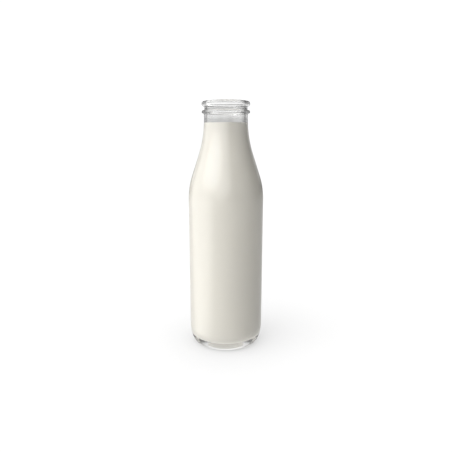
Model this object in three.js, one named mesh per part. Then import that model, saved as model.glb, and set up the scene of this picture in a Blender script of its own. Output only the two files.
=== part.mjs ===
// A one-litre glass milk bottle with a rolled lip, open at the top and filled with milk up to its neck.
// Millimetres, +Z up. The origin is the middle of the foot ring that the bottle stands on.
// Both pieces are turned round the Z axis, so each one is a list of (radius, height) points.
import * as THREE from 'three';

// Facets round the axis: a multiple of four, so that the widest points lie on the X and Y axes
const FACETS = 56;

// Outside of the body, shoulder and neck
const BODY_RADIUS = 42.5;
const SHOULDER_BASE_Z = 168.8;
const SHOULDER_ARC_RADIUS = 81;
const NECK_ARC_RADIUS = 123.5;
const NECK_BASE_Z = 257.4;
const NECK_RADIUS = 24.2;
const WALL = 3.25;

// Foot: a flat ring, a tapered heel outside it and a shallow dome pushed up inside it
const HEEL_INSET = 7;
const HEEL_HEIGHT = 20.5;
const FOOT_RING_WIDTH = 4;
const FOOT_STEP_WIDTH = 1;
const FOOT_STEP_HEIGHT = 0.8;
const PUSH_UP_HEIGHT = 1.8;

// Inside of the foot
const FLOOR_Z = 8;
const FLOOR_DOME_HEIGHT = 2.5;
const INNER_HEEL_RADIUS = 10;

// Mouth: a rolled lip of round section, with a round bead below it
const LIP_SECTION_RADIUS = 2.85;
const LIP_CENTRE_Z = 273.5;
const BEAD_SECTION_RADIUS = 1.87;
const BEAD_CENTRE_RADIUS = 24.71;
const BEAD_CENTRE_Z = 264.9;
const COLLAR_RADIUS = 23.8;

// Milk, clear of the glass all round, with its edge drawn up against the wall
const MILK_GAP = 0.3;
const MILK_LEVEL_Z = 252.5;
const MENISCUS_RISE = 0.8;
const MENISCUS_WIDTH = 3;

// Steps along each rounding of the outlines
const HEEL_STEPS = 7;
const SHOULDER_STEPS = 5;
const NECK_STEPS = 6;
const BEAD_STEPS = 7;
const LIP_STEPS = 12;
const INNER_HEEL_STEPS = 6;
const DOME_STEPS = 3;
const MENISCUS_STEPS = 3;

const QUARTER_TURN = Math.PI / 2;

/** Points on an ellipse round (r, z), from angle `start` to angle `end`, both ends included. */
function ellipseArc(r, z, radiusR, radiusZ, start, end, steps) {
  const points = [];
  for (let step = 0; step <= steps; step += 1) {
    const angle = start + (end - start) * step / steps;
    points.push(new THREE.Vector2(r + radiusR * Math.cos(angle), z + radiusZ * Math.sin(angle)));
  }
  return points;
}

/** Points on a circle round (r, z). */
function arc(r, z, radius, start, end, steps) {
  return ellipseArc(r, z, radius, radius, start, end, steps);
}

/** A shallow dome from the axis out to `edgeRadius`, lower at its edge by `height`. */
function dome(topZ, edgeRadius, height, steps) {
  const points = [];
  for (let step = 0; step <= steps; step += 1) {
    const share = step / steps;
    points.push(new THREE.Vector2(edgeRadius * share, topZ - height * share ** 2));
  }
  return points;
}

/** The angle from upright of the cone that touches both the shoulder's arc and the neck's arc. */
function coneAngle() {
  const across = (NECK_RADIUS + NECK_ARC_RADIUS) - (BODY_RADIUS - SHOULDER_ARC_RADIUS);
  const up = NECK_BASE_Z - SHOULDER_BASE_Z;
  const arcRadii = SHOULDER_ARC_RADIUS + NECK_ARC_RADIUS;
  return Math.asin(arcRadii / Math.hypot(across, up)) - Math.atan2(across, up);
}

/** The flank from the top of the body to the foot of the neck, moved in from the outside by `inset`. */
function flank(inset) {
  const lean = coneAngle();
  const shoulder = arc(
    BODY_RADIUS - SHOULDER_ARC_RADIUS, SHOULDER_BASE_Z, SHOULDER_ARC_RADIUS - inset, 0, lean, SHOULDER_STEPS,
  );
  const neck = arc(
    NECK_RADIUS + NECK_ARC_RADIUS, NECK_BASE_Z, NECK_ARC_RADIUS + inset, Math.PI + lean, Math.PI, NECK_STEPS,
  );
  return [...shoulder, ...neck];
}

/** The inside of the bottle from the middle of its floor up to the foot of the neck, moved in by `inset`. */
function hollow(inset) {
  const radius = BODY_RADIUS - WALL - inset;
  const heelRadius = INNER_HEEL_RADIUS - inset;
  const heelZ = FLOOR_Z + INNER_HEEL_RADIUS;
  const floor = dome(FLOOR_Z + FLOOR_DOME_HEIGHT + inset, radius - heelRadius, FLOOR_DOME_HEIGHT, DOME_STEPS);
  const heel = arc(radius - heelRadius, heelZ, heelRadius, -QUARTER_TURN, 0, INNER_HEEL_STEPS);
  return [...floor, ...heel.slice(1), ...flank(WALL + inset)];
}

/** The underside: the pushed-up dome, the step round it and the flat foot ring. */
function underside() {
  const ringOuterRadius = BODY_RADIUS - HEEL_INSET;
  const ringInnerRadius = ringOuterRadius - FOOT_RING_WIDTH;
  const domeEdgeRadius = ringInnerRadius - FOOT_STEP_WIDTH;
  return [
    ...dome(PUSH_UP_HEIGHT, domeEdgeRadius, PUSH_UP_HEIGHT - FOOT_STEP_HEIGHT, DOME_STEPS),
    new THREE.Vector2(ringInnerRadius, 0),
  ];
}

/** The heel, which tapers from the body down to the outer edge of the foot ring. */
function heel() {
  return ellipseArc(
    BODY_RADIUS - HEEL_INSET, HEEL_HEIGHT, HEEL_INSET, HEEL_HEIGHT, -QUARTER_TURN, 0, HEEL_STEPS,
  );
}

/** The round bead, from where it leaves the neck to where it meets the collar above it. */
function bead() {
  const start = -Math.acos((NECK_RADIUS - BEAD_CENTRE_RADIUS) / BEAD_SECTION_RADIUS);
  const end = Math.acos((COLLAR_RADIUS - BEAD_CENTRE_RADIUS) / BEAD_SECTION_RADIUS);
  return arc(BEAD_CENTRE_RADIUS, BEAD_CENTRE_Z, BEAD_SECTION_RADIUS, start, end, BEAD_STEPS);
}

/** The rolled lip, from the top of the collar over the rim and into the mouth. */
function lip() {
  const centreRadius = NECK_RADIUS - WALL + LIP_SECTION_RADIUS;
  const start = -Math.acos((COLLAR_RADIUS - centreRadius) / LIP_SECTION_RADIUS);
  return arc(centreRadius, LIP_CENTRE_Z, LIP_SECTION_RADIUS, start, Math.PI, LIP_STEPS);
}

/** The top of the milk: the edge drawn up at the wall, then level to the axis. */
function milkSurface() {
  const wallRadius = NECK_RADIUS - WALL - MILK_GAP + wallWidening(MILK_LEVEL_Z + MENISCUS_RISE);
  const points = [];
  for (let step = 0; step <= MENISCUS_STEPS; step += 1) {
    const share = step / MENISCUS_STEPS;
    points.push(new THREE.Vector2(
      wallRadius - MENISCUS_WIDTH * share,
      MILK_LEVEL_Z + MENISCUS_RISE * (1 - share) ** 2,
    ));
  }
  points.push(new THREE.Vector2(0, MILK_LEVEL_Z));
  return points;
}

/** How much wider the inside is at height z, on the neck's arc, than at the foot of the neck. */
function wallWidening(z) {
  const radius = NECK_ARC_RADIUS + WALL + MILK_GAP;
  return radius - Math.sqrt(radius ** 2 - (NECK_BASE_Z - z) ** 2);
}

/** Turns an outline of (radius, height) points into a closed mesh round the Z axis. */
function turned(outline, name, material) {
  const geometry = new THREE.LatheGeometry(outline, FACETS);
  geometry.rotateX(QUARTER_TURN);
  const mesh = new THREE.Mesh(geometry, material);
  mesh.name = name;
  return mesh;
}

function bottleOutline() {
  return [...underside(), ...heel(), ...flank(0), ...bead(), ...lip(), ...hollow(0).reverse()];
}

function milkOutline() {
  const top = milkSurface();
  const sides = hollow(MILK_GAP).filter((point) => point.y < top[0].y);
  return [...sides, ...top];
}

const clearGlass = new THREE.MeshStandardMaterial({
  color: 0xeef2f0, roughness: 0.04, metalness: 0, transparent: true, opacity: 0.35,
});
const milkWhite = new THREE.MeshStandardMaterial({ color: 0xf4f1e6, roughness: 0.35, metalness: 0 });

const group = new THREE.Group();
group.add(turned(bottleOutline(), 'glass_bottle', clearGlass));
group.add(turned(milkOutline(), 'milk', milkWhite));

export default group;
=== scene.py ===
"""A one-litre glass milk bottle with a rolled lip, filled with milk up to its neck, on a pale floor."""

import math

import bpy
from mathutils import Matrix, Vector


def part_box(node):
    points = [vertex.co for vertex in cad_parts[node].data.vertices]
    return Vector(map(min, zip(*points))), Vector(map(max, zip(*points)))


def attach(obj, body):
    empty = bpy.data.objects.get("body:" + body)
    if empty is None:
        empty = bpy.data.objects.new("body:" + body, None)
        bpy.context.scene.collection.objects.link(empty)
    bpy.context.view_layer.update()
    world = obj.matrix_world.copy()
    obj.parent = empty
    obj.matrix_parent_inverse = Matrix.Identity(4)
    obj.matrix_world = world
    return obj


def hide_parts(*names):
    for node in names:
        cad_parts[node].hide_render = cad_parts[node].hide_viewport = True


bl_info = {
    "name": "Glass milk bottle",
    "version": (1, 0, 0),
    "blender": (4, 5, 0),
    "location": "3D View > Sidebar > Milk bottle",
    "description": "Models a full glass milk bottle and sets it in soft studio light",
    "category": "Object",
}

MM = 0.001

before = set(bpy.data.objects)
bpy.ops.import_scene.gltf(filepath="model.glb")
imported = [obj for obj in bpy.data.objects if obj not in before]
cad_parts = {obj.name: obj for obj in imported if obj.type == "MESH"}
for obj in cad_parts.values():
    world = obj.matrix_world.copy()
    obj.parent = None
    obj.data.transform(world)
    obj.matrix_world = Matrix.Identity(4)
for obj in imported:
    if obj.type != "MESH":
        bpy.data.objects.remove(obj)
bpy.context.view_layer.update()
GLASS_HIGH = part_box("glass_bottle")[1]
MILK_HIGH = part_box("milk")[1]

QUARTER_TURN = math.pi / 2
FULL_TURN = math.pi * 2

# Steps of a full turn: a multiple of four, so that the widest points lie on the X and Y axes
TURN_STEPS = 192
# Points closer together than this are one point
MERGE_DISTANCE = 0.002 * MM
# An edge that is sharper than this keeps its crease
CREASE_ANGLE = math.radians(40)

# Steps along each rounding of the outlines
SHOULDER_STEPS = 20
NECK_STEPS = 24
HEEL_STEPS = 30
BEAD_STEPS = 20
LIP_STEPS = 40
CORNER_STEPS = 5
DOME_STEPS = 10
INNER_HEEL_STEPS = 18
MENISCUS_STEPS = 10

# Directions seen from the bottle, with the camera in front of it
LEFT = (-1, 0, 0)
RIGHT = (1, 0, 0)
BEHIND = (0, 1, 0)
UP = (0, 0, 1)
DOWN = (0, 0, -1)
BEHIND_AND_UP = (0, 1, 1)

WHITE = (1, 1, 1, 1)
SENSOR_WIDTH = 36
# How often light may pass through or off glass, and off the milk
GLASS_BOUNCES = 24
MILK_BOUNCES = 12


def length(name, description, default):
    """A size in metres."""
    return bpy.props.FloatProperty(
        name=name, description=description, default=default, unit="LENGTH", subtype="DISTANCE"
    )


def angle(name, description, degrees):
    """An angle, kept in radians."""
    return bpy.props.FloatProperty(
        name=name, description=description, default=math.radians(degrees), unit="ROTATION", subtype="ANGLE"
    )


def amount(name, description, default):
    """A plain number that is never below zero."""
    return bpy.props.FloatProperty(name=name, description=description, default=default, min=0)


def colour(name, description, default):
    """A colour in linear light."""
    return bpy.props.FloatVectorProperty(
        name=name, description=description, default=default, size=3, min=0, max=1, subtype="COLOR"
    )


class BottleSizes(bpy.types.PropertyGroup):
    """The glass bottle, outside and inside."""

    body_radius: length("Body radius", "Outer radius of the straight body", GLASS_HIGH.x)
    height: length("Height", "From the floor to the top of the lip", GLASS_HIGH.z)
    shoulder_z: length("Shoulder height", "Where the straight body ends and the shoulder starts", 168.8 * MM)
    shoulder_arc: length("Shoulder arc", "Radius of the rounding from the body into the shoulder", 81 * MM)
    neck_arc: length("Neck arc", "Radius of the hollow rounding from the shoulder into the neck", 123.5 * MM)
    neck_z: length("Neck height", "Where the neck becomes upright", 257.4 * MM)
    neck_radius: length("Neck radius", "Outer radius of the neck", 24.2 * MM)
    wall: length("Wall", "Thickness of the glass", 3.25 * MM)
    lip_section: length("Lip section", "Radius of the rolled lip's round section", 2.85 * MM)
    bead_section: length("Bead section", "Radius of the round bead below the lip", 1.87 * MM)
    bead_radius: length("Bead radius", "Radius of the ring that the middle of the bead follows", 24.71 * MM)
    bead_drop: length("Bead below lip", "From the middle of the lip down to the middle of the bead", 8.6 * MM)
    heel_inset: length("Heel inset", "How much narrower the foot is than the body", 7 * MM)
    heel_height: length("Heel height", "From the floor to where the heel meets the body", 20.5 * MM)
    ring_width: length("Foot ring width", "Width of the ring that the bottle stands on", 4 * MM)
    step_width: length("Foot step width", "Width of the step inside the foot ring", 1 * MM)
    step_height: length("Foot step height", "Height of the step inside the foot ring", 0.8 * MM)
    push_up: length("Push-up", "Height of the hollow underside at its middle", 1.8 * MM)
    floor_z: length("Inner floor", "Height of the inside of the bottle at its edge", 8 * MM)
    floor_dome: length("Inner floor dome", "How much higher the inner floor is in the middle", 2.5 * MM)
    inner_heel: length("Inner heel rounding", "Radius of the inside corner of wall and floor", 10 * MM)
    knurl_height: length("Knurl height", "How far the small pads stand out of the foot ring", 0.25 * MM)
    knurl_width: length("Knurl width", "Size of the small pads across the foot ring", 2.2 * MM)
    seam_foot: length("Mould seam foot", "How far above the floor the mould seams may start", 5.1 * MM)
    seam_height: length("Mould seam height", "How far the two upright mould seams stand out", 0.08 * MM)
    seam_width: length("Mould seam width", "Width of the two upright mould seams", 0.5 * MM)
    corner: length("Corner rounding", "Rounding of the inward corners beside the bead and the lip", 0.8 * MM)


class MilkSizes(bpy.types.PropertyGroup):
    """The milk in the bottle."""

    edge_z: length("Milk edge", "Height of the edge of the milk, drawn up against the glass", MILK_HIGH.z)
    meniscus_rise: length("Meniscus rise", "How far the edge of the milk is drawn up", 0.8 * MM)
    meniscus_width: length("Meniscus width", "How far from the wall the milk is level again", 3 * MM)
    reach: length("Reach into the glass", "How far the milk goes into the wall, to leave no air", 0.05 * MM)


class Finishes(bpy.types.PropertyGroup):
    """Colours and surface of glass and milk."""

    glass_tint: colour("Glass tint", "What the glass lets through", (0.945, 0.945, 0.94))
    glass_index: amount("Glass index", "How strongly the glass bends light", 1.5)
    waviness: length("Glass waviness", "Depth of the soft waves that moulding leaves in the glass", 0.02 * MM)
    wave_scale: amount("Wave scale", "How closely the waves in the glass follow one another", 60)
    milk_light: colour("Milk", "Colour of the milk", (0.95, 0.925, 0.855))
    milk_cream: colour("Cream", "Slightly deeper tone that clouds the milk", (0.945, 0.915, 0.835))
    cloud_scale: amount("Cloud scale", "How closely the clouds of cream follow one another", 25)
    milk_roughness: amount("Milk roughness", "How dull the surface of the milk is", 0.3)


class StageSettings(bpy.types.PropertyGroup):
    """Floor, light and camera. A light's turn is counted from the camera towards the left."""

    camera_side: length("Camera side", "How far the camera stands to the right of the axis", 0.1 * MM)
    camera_distance: length("Camera distance", "Level distance from the bottle's axis", 497.9 * MM)
    camera_height: length("Camera height", "Height of the camera above the floor", 238.9 * MM)
    camera_pitch: angle("Camera pitch", "How far the camera looks down", 11.56)
    camera_lens: bpy.props.FloatProperty(
        name="Lens", description="Focal length on a sensor 36 mm wide", default=35, unit="CAMERA"
    )
    softness: angle("Light softness", "Over how wide an angle each light fades out", 34)
    key_turn: angle("Key light turn", "Where the high light on the left stands", 57)
    key_rise: angle("Key light rise", "How far up the high light on the left stands", 44)
    key_spread: angle("Key light spread", "Half the angle that it takes up", 24)
    key_strength: amount("Key light", "Strength of the high light on the left", 2.7)
    side_turn: angle("Side light turn", "Where the large light on the left stands", 82)
    side_rise: angle("Side light rise", "How far up the large light on the left stands", 6)
    side_spread: angle("Side light spread", "Half the angle that it takes up", 38)
    side_strength: amount("Side light", "Strength of the large light on the left", 1.54)
    front_turn: angle("Front light turn", "Where the light above the camera stands", 16)
    front_rise: angle("Front light rise", "How far up the light above the camera stands", 25)
    front_spread: angle("Front light spread", "Half the angle that it takes up", 20)
    front_strength: amount("Front light", "Strength of the light above the camera", 1.8)
    fill_turn: angle("Fill light turn", "Where the weak light on the right stands", -60)
    fill_rise: angle("Fill light rise", "How far up the weak light on the right stands", 20)
    fill_spread: angle("Fill light spread", "Half the angle that it takes up", 20)
    fill_strength: amount("Fill light", "Strength of the weak light on the right", 0.45)
    back_turn: angle("Back light turn", "Where the light behind the mouth stands", 180)
    back_rise: angle("Back light rise", "How far up the light behind the mouth stands", 30)
    back_spread: angle("Back light spread", "Half the angle that it takes up", 12)
    back_strength: amount("Back light", "Strength of the light behind the mouth", 0.25)
    glow_spread: angle("Floor glow spread", "How far from straight down the glow of the floor reaches", 84)
    glow_edge: angle("Floor glow edge", "Over how wide an angle the glow fades out at the horizon", 11)
    glow_strength: amount("Floor glow", "Strength of the light that the wide pale floor throws up", 0.58)
    foot_spread: angle("Foot light spread", "Half the angle of the bright floor right under the bottle", 40)
    foot_edge: angle("Foot light edge", "Over how wide an angle the floor under the bottle fades out", 20)
    foot_strength: amount("Foot light", "How much brighter the floor is right under the bottle", 0.7)
    backdrop_width: angle("Backdrop width", "Half the angle that the backdrop takes up from side to side", 20)
    backdrop_side: angle("Backdrop side", "Over how wide an angle each side of the backdrop fades out", 20)
    backdrop_spread: angle("Backdrop spread", "Half the angle between the two ends of the backdrop", 80)
    backdrop_edge: angle("Backdrop edge", "Over how wide an angle the ends of the backdrop fade out", 20)
    backdrop_strength: amount("Backdrop", "Strength of the sweep that rises behind and closes above", 0.2)
    panel_low: angle("Panel foot", "How far up the low panel starts", 2)
    panel_high: angle("Panel top", "How far up the low panel ends", 26)
    panel_rim: angle("Panel rim", "Over how wide an angle the panel's foot and top fade out", 4)
    panel_spread: angle("Panel spread", "Half the angle that the low panel behind takes up", 44)
    panel_edge: angle("Panel edge", "Over how wide an angle the panel's sides fade out", 8)
    panel_strength: amount("Panel", "Strength of the low panel behind", 0.5)
    surround_strength: amount("Surround", "Strength of the even light from the rest of the room", 0.13)
    white_strength: amount("White", "Brightness of the plain white that the camera sees behind", 1.05)
    floor_size: length("Floor size", "Length of each side of the floor", 3.2)
    floor_drop: length("Floor drop", "How far the floor lies below the foot ring", 0.2 * MM)
    floor_tone: amount("Floor tone", "How much of the studio light the floor throws back", 0.17)
    floor_light: amount("Floor light", "How brightly the floor shines of itself", 0.4)
    # Painted shadow: this part of the floor's glow is multiplied by ambient occlusion, so it is painted
    # dimmer where the bottle stands over the floor.
    floor_painted_shadow_glow: amount("Floor sky", "How much even light falls where nothing stands over the floor", 0.5)
    # Painted shadow: the reach of the ambient occlusion that paints the floor's glow darker near the bottle.
    painted_shadow_reach: length("Shadow reach", "How far off something may be and still dim the floor", 1)


def ellipse_arc(centre, radii, start, end, steps):
    """Points on an ellipse, from angle start to angle end, both ends included."""
    points = []
    for step in range(steps + 1):
        turn = start + (end - start) * step / steps
        points.append((centre[0] + radii[0] * math.cos(turn), centre[1] + radii[1] * math.sin(turn)))
    return points


def arc(centre, radius, start, end, steps):
    """Points on a circle, from angle start to angle end, both ends included."""
    return ellipse_arc(centre, (radius, radius), start, end, steps)


def dome(top_z, edge_radius, drop):
    """A shallow dome from the axis out to its edge, which is lower by drop."""
    shares = [step / DOME_STEPS for step in range(DOME_STEPS + 1)]
    return [(edge_radius * share, top_z - drop * share**2) for share in shares]


def cone_lean(sizes):
    """The angle from upright of the cone that touches the shoulder's arc and the neck's arc."""
    across = (sizes.neck_radius + sizes.neck_arc) - (sizes.body_radius - sizes.shoulder_arc)
    up = sizes.neck_z - sizes.shoulder_z
    both_arcs = sizes.shoulder_arc + sizes.neck_arc
    return math.asin(both_arcs / math.hypot(across, up)) - math.atan2(across, up)


def flank(sizes, inset):
    """From the top of the straight body to the foot of the neck, moved in by inset."""
    lean = cone_lean(sizes)
    shoulder_centre = (sizes.body_radius - sizes.shoulder_arc, sizes.shoulder_z)
    neck_centre = (sizes.neck_radius + sizes.neck_arc, sizes.neck_z)
    shoulder = arc(shoulder_centre, sizes.shoulder_arc - inset, 0, lean, SHOULDER_STEPS)
    neck = arc(neck_centre, sizes.neck_arc + inset, math.pi + lean, math.pi, NECK_STEPS)
    return shoulder + neck


def hollow(sizes, inset):
    """The inside from the middle of the floor to the foot of the neck, moved in by inset."""
    radius = sizes.body_radius - sizes.wall - inset
    corner = sizes.inner_heel - inset
    top_z = sizes.floor_z + sizes.floor_dome + inset
    floor = dome(top_z, radius - corner, sizes.floor_dome)
    corner_centre = (radius - corner, sizes.floor_z + sizes.inner_heel)
    heel = arc(corner_centre, corner, -QUARTER_TURN, 0, INNER_HEEL_STEPS)
    return floor + heel[1:] + flank(sizes, sizes.wall + inset)


def lip_centre(sizes):
    """The middle of the rolled lip's section, which is flush with the inside of the neck."""
    return (sizes.neck_radius - sizes.wall + sizes.lip_section, sizes.height - sizes.lip_section)


def bead_centre(sizes):
    """The middle of the bead's section."""
    return (sizes.bead_radius, lip_centre(sizes)[1] - sizes.bead_drop)


def neck_corners(sizes):
    """The inward corners below the bead, above it and below the lip: radius, height and angle on the arc."""
    collar, lip_z = lip_centre(sizes)
    bead_radius, bead_z = bead_centre(sizes)
    below = math.acos((sizes.neck_radius - bead_radius) / sizes.bead_section)
    above = math.acos((collar - bead_radius) / sizes.bead_section)
    return {
        "below_bead": (sizes.neck_radius, bead_z - sizes.bead_section * math.sin(below), -below),
        "above_bead": (collar, bead_z + sizes.bead_section * math.sin(above), above),
        "below_lip": (collar, lip_z - sizes.lip_section, -QUARTER_TURN),
    }


def knurl_band(sizes):
    """The inner and outer radius of the band of small pads in the middle of the foot ring."""
    middle = sizes.body_radius - sizes.heel_inset - sizes.ring_width / 2
    return (middle - sizes.knurl_width / 2, middle + sizes.knurl_width / 2)


def bottle_outline(sizes):
    """The outline of the glass: up the outside, over the lip and down the inside."""
    ring_outer = sizes.body_radius - sizes.heel_inset
    ring_inner = ring_outer - sizes.ring_width
    ring_z = sizes.knurl_height
    underside = dome(sizes.push_up, ring_inner - sizes.step_width, sizes.push_up - sizes.step_height)
    ring = [(radius, ring_z) for radius in (ring_inner, *knurl_band(sizes))]
    heel_radii = (sizes.heel_inset, sizes.heel_height - ring_z)
    heel = ellipse_arc((ring_outer, sizes.heel_height), heel_radii, -QUARTER_TURN, 0, HEEL_STEPS)
    bead_start, bead_end, lip_start = [corner[2] for corner in neck_corners(sizes).values()]
    bead = arc(bead_centre(sizes), sizes.bead_section, bead_start, bead_end, BEAD_STEPS)
    lip = arc(lip_centre(sizes), sizes.lip_section, lip_start, math.pi, LIP_STEPS)
    return underside + ring + heel + flank(sizes, 0) + bead + lip + hollow(sizes, 0)[::-1]


def milk_outline(bottle, milk):
    """The milk: along the inside of the glass, then over the drawn-up edge to the axis."""
    sides = [point for point in hollow(bottle, -milk.reach) if point[1] < milk.edge_z]
    neck_curve = bottle.neck_arc + bottle.wall - milk.reach
    below_neck = bottle.neck_z - milk.edge_z
    widening = neck_curve - math.sqrt(neck_curve**2 - below_neck**2)
    edge_radius = bottle.neck_radius - bottle.wall + milk.reach + widening
    level_z = milk.edge_z - milk.meniscus_rise
    top = []
    for step in range(MENISCUS_STEPS + 1):
        share = step / MENISCUS_STEPS
        radius = edge_radius - milk.meniscus_width * share
        top.append((radius, level_z + milk.meniscus_rise * (1 - share) ** 2))
    return sides + top + [(0, level_z)]


def clear_selection():
    """Leaves edit mode with nothing selected."""
    if bpy.context.mode != "OBJECT":
        bpy.ops.object.mode_set(mode="OBJECT")
    bpy.ops.object.select_all(action="DESELECT")


def start_piece(name):
    """A new object in edit mode, with one point at the origin."""
    clear_selection()
    bpy.ops.mesh.primitive_plane_add(size=MM, location=(0, 0, 0))
    piece = bpy.context.object
    piece.name = name
    piece.data.name = name
    bpy.ops.object.mode_set(mode="EDIT")
    bpy.ops.mesh.select_all(action="SELECT")
    bpy.ops.mesh.merge(type="CENTER")
    return piece


def select_parts(piece, kind, parts, wanted):
    """Selects the points, edges or faces that pass the test, in edit mode."""
    bpy.ops.mesh.select_mode(type=kind)
    bpy.ops.mesh.select_all(action="DESELECT")
    bpy.ops.object.mode_set(mode="OBJECT")
    for part in getattr(piece.data, parts):
        part.select = wanted(part)
    bpy.ops.object.mode_set(mode="EDIT")


def draw_outline(outline):
    """Pulls the selected point along the outline, one extrusion after another."""
    bpy.ops.transform.translate(value=(outline[0][0], 0, outline[0][1]))
    for here, there in zip(outline, outline[1:]):
        step = (there[0] - here[0], 0, there[1] - here[1])
        if math.hypot(step[0], step[2]) > MERGE_DISTANCE:
            bpy.ops.mesh.extrude_region_move(TRANSFORM_OT_translate={"value": step})


def round_corner(piece, radius, z, size):
    """Rounds one corner of a drawn outline."""
    corner = Vector((radius, 0, z))
    select_parts(piece, "VERT", "vertices", lambda point: (point.co - corner).length < MERGE_DISTANCE)
    bpy.ops.mesh.bevel(offset_type="OFFSET", offset=size, segments=CORNER_STEPS, affect="VERTICES")


def spin_outline():
    """Turns the drawn outline once round the Z axis and closes its seam and poles."""
    bpy.ops.mesh.select_all(action="SELECT")
    bpy.ops.mesh.spin(steps=TURN_STEPS, angle=FULL_TURN, center=(0, 0, 0), axis=UP)
    bpy.ops.mesh.select_all(action="SELECT")
    bpy.ops.mesh.remove_doubles(threshold=MERGE_DISTANCE)
    bpy.ops.mesh.normals_make_consistent(inside=False)


def raise_knurls(piece, sizes):
    """Draws every other face of the foot ring down to the floor as a small pad."""
    inner, outer = knurl_band(sizes)

    def is_pad(face):
        radius = math.hypot(face.center.x, face.center.y)
        step = math.atan2(face.center.y, face.center.x) / FULL_TURN * TURN_STEPS
        on_ring = inner < radius < outer and abs(face.center.z - sizes.knurl_height) < MERGE_DISTANCE
        return on_ring and math.floor(step) % 2 == 0

    select_parts(piece, "FACE", "polygons", is_pad)
    bpy.ops.mesh.extrude_region_move(TRANSFORM_OT_translate={"value": (0, 0, -sizes.knurl_height)})


def raise_seams(piece, sizes):
    """Raises the two thin upright lines that the halves of the mould leave, from the heel to the bead."""
    highest = neck_corners(sizes)["below_bead"][1] - sizes.corner + MERGE_DISTANCE
    foot_radius = sizes.body_radius - sizes.heel_inset

    def on_seam(point):
        beside = abs(point.co.y) < MERGE_DISTANCE
        faces_out = point.co.x * point.normal.x > 0
        outside = point.co.z > sizes.heel_height or abs(point.co.x) > foot_radius
        return beside and faces_out and outside and sizes.seam_foot < point.co.z < highest

    def is_seam(edge):
        return all(on_seam(piece.data.vertices[index]) for index in edge.vertices)

    select_parts(piece, "EDGE", "edges", is_seam)
    bpy.ops.mesh.bevel(offset_type="OFFSET", offset=sizes.seam_width / 2, segments=2, affect="EDGES")
    for side in (1, -1):
        select_parts(piece, "VERT", "vertices", lambda point: on_seam(point) and point.co.x * side > 0)
        bpy.ops.transform.translate(value=(side * sizes.seam_height, 0, 0))


def finish_piece(piece, material, node):
    """Smooths the piece, gives it its material, hangs it on the root body and hides the solid from model.glb
    that it takes the place of.
    """
    bpy.ops.mesh.select_mode(type="VERT")
    bpy.ops.object.mode_set(mode="OBJECT")
    bpy.ops.object.shade_smooth_by_angle(angle=CREASE_ANGLE)
    piece.data.materials.clear()
    piece.data.materials.append(material)
    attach(piece, "root")
    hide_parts(node)
    clear_selection()


def new_material(name):
    """A new material with its nodes and links."""
    material = bpy.data.materials.new(name)
    material.use_nodes = True
    return material, material.node_tree.nodes, material.node_tree.links


def noise_on_object(nodes, links, scale, detail):
    """A noise texture that follows the object's own coordinates."""
    place = nodes.new("ShaderNodeTexCoord")
    noise = nodes.new("ShaderNodeTexNoise")
    noise.inputs["Scale"].default_value = scale
    noise.inputs["Detail"].default_value = detail
    links.new(place.outputs["Object"], noise.inputs["Vector"])
    return noise.outputs["Fac"]


def clear_glass(finishes):
    """Clear moulded glass: faintly wavy, with a trace of grey."""
    material, nodes, links = new_material("moulded_glass")
    shader = nodes["Principled BSDF"]
    shader.inputs["Base Color"].default_value = (*finishes.glass_tint, 1)
    shader.inputs["Transmission Weight"].default_value = 1
    shader.inputs["IOR"].default_value = finishes.glass_index
    shader.inputs["Roughness"].default_value = 0
    waves = nodes.new("ShaderNodeBump")
    waves.inputs["Distance"].default_value = finishes.waviness
    waves.inputs["Strength"].default_value = 1
    links.new(noise_on_object(nodes, links, finishes.wave_scale, detail=1), waves.inputs["Height"])
    links.new(waves.outputs["Normal"], shader.inputs["Normal"])
    return material


def whole_milk(finishes):
    """Milk with a faint cloud of cream in it."""
    material, nodes, links = new_material("creamy_milk")
    shader = nodes["Principled BSDF"]
    shader.inputs["Roughness"].default_value = finishes.milk_roughness
    mix = nodes.new("ShaderNodeMix")
    mix.data_type = "RGBA"
    mix.inputs["A"].default_value = (*finishes.milk_light, 1)
    mix.inputs["B"].default_value = (*finishes.milk_cream, 1)
    links.new(noise_on_object(nodes, links, finishes.cloud_scale, detail=3), mix.inputs["Factor"])
    links.new(mix.outputs["Result"], shader.inputs["Base Color"])
    return material


class MILKBOTTLE_OT_glass(bpy.types.Operator):
    """Models the glass bottle: draws its outline, rounds its corners, turns it and adds the mould's marks"""

    bl_idname = "milk_bottle.glass"
    bl_label = "Glass bottle"

    def execute(self, context):
        scene = context.scene
        sizes = scene.bottle_sizes
        piece = start_piece("clear_bottle")
        draw_outline(bottle_outline(sizes))
        for radius, z, _ in neck_corners(sizes).values():
            round_corner(piece, radius, z, sizes.corner)
        spin_outline()
        raise_knurls(piece, sizes)
        raise_seams(piece, sizes)
        finish_piece(piece, clear_glass(scene.finishes), "glass_bottle")
        return {"FINISHED"}


class MILKBOTTLE_OT_milk(bpy.types.Operator):
    """Models the milk as one body that fills the bottle up to its drawn-up edge"""

    bl_idname = "milk_bottle.milk"
    bl_label = "Milk"

    def execute(self, context):
        scene = context.scene
        piece = start_piece("whole_milk")
        draw_outline(milk_outline(scene.bottle_sizes, scene.milk_sizes))
        spin_outline()
        finish_piece(piece, whole_milk(scene.finishes), "milk")
        return {"FINISHED"}


def combine(nodes, links, operation, first, second):
    """Joins two values, or a number and a value, by a Math node."""
    joined = nodes.new("ShaderNodeMath")
    joined.operation = operation
    for socket, term in zip(joined.inputs, (first, second)):
        if isinstance(term, bpy.types.NodeSocket):
            links.new(term, socket)
        else:
            socket.default_value = term
    return joined.outputs["Value"]


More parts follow.
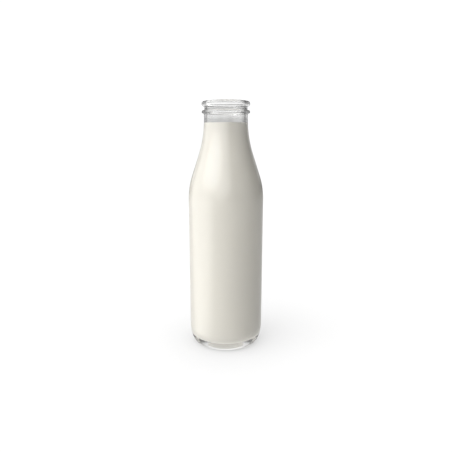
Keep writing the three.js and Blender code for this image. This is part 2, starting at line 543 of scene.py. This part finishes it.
def floor_material(settings):
    """A pale floor that glows of itself: bright all over, with a painted shadow where the bottle stands over
    it, where an ambient-occlusion node dims its glow.
    """
    material, nodes, links = new_material("pale_floor")
    tone = settings.floor_tone
    shader = nodes["Principled BSDF"]
    shader.inputs["Base Color"].default_value = (tone, tone, tone, 1)
    shader.inputs["Roughness"].default_value = 1
    shader.inputs["Specular IOR Level"].default_value = 0
    shader.inputs["Emission Color"].default_value = WHITE
    # Painted shadow: an ambient-occlusion node dims the floor's glow where the bottle stands over it.
    painted_shadow_occlusion = nodes.new("ShaderNodeAmbientOcclusion")
    painted_shadow_occlusion.inputs["Distance"].default_value = settings.painted_shadow_reach
    sky = combine(nodes, links, "MULTIPLY", painted_shadow_occlusion.outputs["AO"], settings.floor_painted_shadow_glow)
    light = combine(nodes, links, "ADD", sky, settings.floor_light)
    links.new(light, shader.inputs["Emission Strength"])
    return material


def add_floor(settings):
    """A pale floor that shows the bottle's soft shadow, a little of it real and most of it painted into the
    floor's glow, and throws no light back on it.
    """
    clear_selection()
    bpy.ops.mesh.primitive_plane_add(size=settings.floor_size, location=(0, 0, -settings.floor_drop))
    floor = bpy.context.object
    floor.name = "floor"
    bpy.ops.object.transform_apply(location=True)
    floor.data.materials.append(floor_material(settings))
    floor.visible_diffuse = False
    floor.visible_glossy = False
    floor.visible_transmission = False


def light_parts(settings, light, *parts):
    """Some of one light's settings, such as its spread and its strength."""
    return [getattr(settings, f"{light}_{part}") for part in parts]


def soft_light(nodes, links, towards, spread, edge, brightness):
    """A round soft light that fades out over edge, halfway at spread from its direction."""
    place = nodes.new("ShaderNodeTexCoord")
    facing = nodes.new("ShaderNodeVectorMath")
    facing.operation = "DOT_PRODUCT"
    facing.inputs[1].default_value = Vector(towards).normalized()
    ramp = nodes.new("ShaderNodeMapRange")
    ramp.interpolation_type = "SMOOTHSTEP"
    ramp.inputs["From Min"].default_value = math.cos(min(spread + edge / 2, math.pi))
    ramp.inputs["From Max"].default_value = math.cos(max(spread - edge / 2, 0))
    ramp.inputs["To Max"].default_value = brightness
    links.new(place.outputs["Generated"], facing.inputs[0])
    links.new(facing.outputs["Value"], ramp.inputs["Value"])
    return ramp.outputs["Result"]


def backdrop_sweep(nodes, links, settings):
    """An upright band of light behind the bottle that rises from the floor and closes over it."""
    beside = QUARTER_TURN - settings.backdrop_width
    left = soft_light(nodes, links, LEFT, beside, settings.backdrop_side, 1)
    right = soft_light(nodes, links, RIGHT, beside, settings.backdrop_side, 1)
    band = combine(nodes, links, "SUBTRACT", 1, combine(nodes, links, "ADD", left, right))
    sweep = light_parts(settings, "backdrop", "spread", "edge", "strength")
    return combine(nodes, links, "MULTIPLY", band, soft_light(nodes, links, BEHIND_AND_UP, *sweep))


def low_panel(nodes, links, settings):
    """A wide low panel of light behind the bottle, from just above the horizon."""
    low, high, rim = light_parts(settings, "panel", "low", "high", "rim")
    above_low = soft_light(nodes, links, UP, QUARTER_TURN - low, rim, 1)
    above_high = soft_light(nodes, links, UP, QUARTER_TURN - high, rim, 1)
    band = combine(nodes, links, "SUBTRACT", above_low, above_high)
    panel = light_parts(settings, "panel", "spread", "edge", "strength")
    return combine(nodes, links, "MULTIPLY", band, soft_light(nodes, links, BEHIND, *panel))


def studio_lights(nodes, links, settings):
    """Each light of the studio as a value that depends on the direction."""
    lights = []
    for name in ("key", "side", "front", "fill", "back"):
        turn, rise, spread, brightness = light_parts(settings, name, "turn", "rise", "spread", "strength")
        level = math.cos(rise)
        towards = (-math.sin(turn) * level, -math.cos(turn) * level, math.sin(rise))
        lights.append(soft_light(nodes, links, towards, spread, settings.softness, brightness))
    for name in ("glow", "foot"):
        below = light_parts(settings, name, "spread", "edge", "strength")
        lights.append(soft_light(nodes, links, DOWN, *below))
    lights.append(backdrop_sweep(nodes, links, settings))
    lights.append(low_panel(nodes, links, settings))
    return lights


def background(nodes):
    """A plain white background."""
    white = nodes.new("ShaderNodeBackground")
    white.inputs["Color"].default_value = WHITE
    return white


def add_studio_light(scene, settings):
    """Plain white behind all that the camera sees, and soft lights round the bottle."""
    world = bpy.data.worlds.new("studio")
    scene.world = world
    world.use_nodes = True
    nodes = world.node_tree.nodes
    links = world.node_tree.links
    nodes.clear()
    total = settings.surround_strength
    for light in studio_lights(nodes, links, settings):
        total = combine(nodes, links, "ADD", total, light)
    studio = background(nodes)
    links.new(total, studio.inputs["Strength"])
    seen = background(nodes)
    seen.inputs["Strength"].default_value = settings.white_strength
    path = nodes.new("ShaderNodeLightPath")
    mix = nodes.new("ShaderNodeMixShader")
    output = nodes.new("ShaderNodeOutputWorld")
    links.new(path.outputs["Is Camera Ray"], mix.inputs["Fac"])
    links.new(studio.outputs["Background"], mix.inputs[1])
    links.new(seen.outputs["Background"], mix.inputs[2])
    links.new(mix.outputs["Shader"], output.inputs["Surface"])


def add_camera(scene, settings):
    """The camera, level with the upper part of the bottle and looking slightly down."""
    clear_selection()
    place = (settings.camera_side, -settings.camera_distance, settings.camera_height)
    bpy.ops.object.camera_add(location=place, rotation=(QUARTER_TURN - settings.camera_pitch, 0, 0))
    camera = bpy.context.object
    camera.data.sensor_width = SENSOR_WIDTH
    camera.data.lens = settings.camera_lens
    scene.camera = camera


class MILKBOTTLE_OT_stage(bpy.types.Operator):
    """Sets up the pale floor, the soft studio light and the camera"""

    bl_idname = "milk_bottle.stage"
    bl_label = "Floor, light and camera"

    def execute(self, context):
        scene = context.scene
        add_floor(scene.stage_settings)
        add_studio_light(scene, scene.stage_settings)
        add_camera(scene, scene.stage_settings)
        scene.view_settings.view_transform = "Standard"
        scene.cycles.max_bounces = GLASS_BOUNCES
        scene.cycles.transmission_bounces = GLASS_BOUNCES
        scene.cycles.diffuse_bounces = MILK_BOUNCES
        clear_selection()
        return {"FINISHED"}


class MILKBOTTLE_PT_panel(bpy.types.Panel):
    """Sizes, colours and steps of the milk bottle"""

    bl_idname = "MILKBOTTLE_PT_panel"
    bl_label = "Milk bottle"
    bl_space_type = "VIEW_3D"
    bl_region_type = "UI"
    bl_category = "Milk bottle"

    def draw(self, context):
        scene = context.scene
        for group in (scene.bottle_sizes, scene.milk_sizes, scene.finishes, scene.stage_settings):
            column = self.layout.column(align=True)
            for name in group.bl_rna.properties.keys():
                if name not in ("rna_type", "name"):
                    column.prop(group, name)
        for operator in OPERATORS:
            self.layout.operator(operator.bl_idname)


GROUPS = (BottleSizes, MilkSizes, Finishes, StageSettings)
OPERATORS = (MILKBOTTLE_OT_glass, MILKBOTTLE_OT_milk, MILKBOTTLE_OT_stage)
CLASSES = GROUPS + OPERATORS + (MILKBOTTLE_PT_panel,)


def register():
    """Makes the settings, the operators and the panel known to Blender."""
    for cls in CLASSES:
        bpy.utils.register_class(cls)
    bpy.types.Scene.bottle_sizes = bpy.props.PointerProperty(type=BottleSizes)
    bpy.types.Scene.milk_sizes = bpy.props.PointerProperty(type=MilkSizes)
    bpy.types.Scene.finishes = bpy.props.PointerProperty(type=Finishes)
    bpy.types.Scene.stage_settings = bpy.props.PointerProperty(type=StageSettings)


def unregister():
    """Takes them away again."""
    del bpy.types.Scene.stage_settings
    del bpy.types.Scene.finishes
    del bpy.types.Scene.milk_sizes
    del bpy.types.Scene.bottle_sizes
    for cls in reversed(CLASSES):
        bpy.utils.unregister_class(cls)


def main():
    """Makes the pieces and the stage."""
    register()
    bpy.ops.milk_bottle.glass()
    bpy.ops.milk_bottle.milk()
    bpy.ops.milk_bottle.stage()


if __name__ == "__main__":
    main()
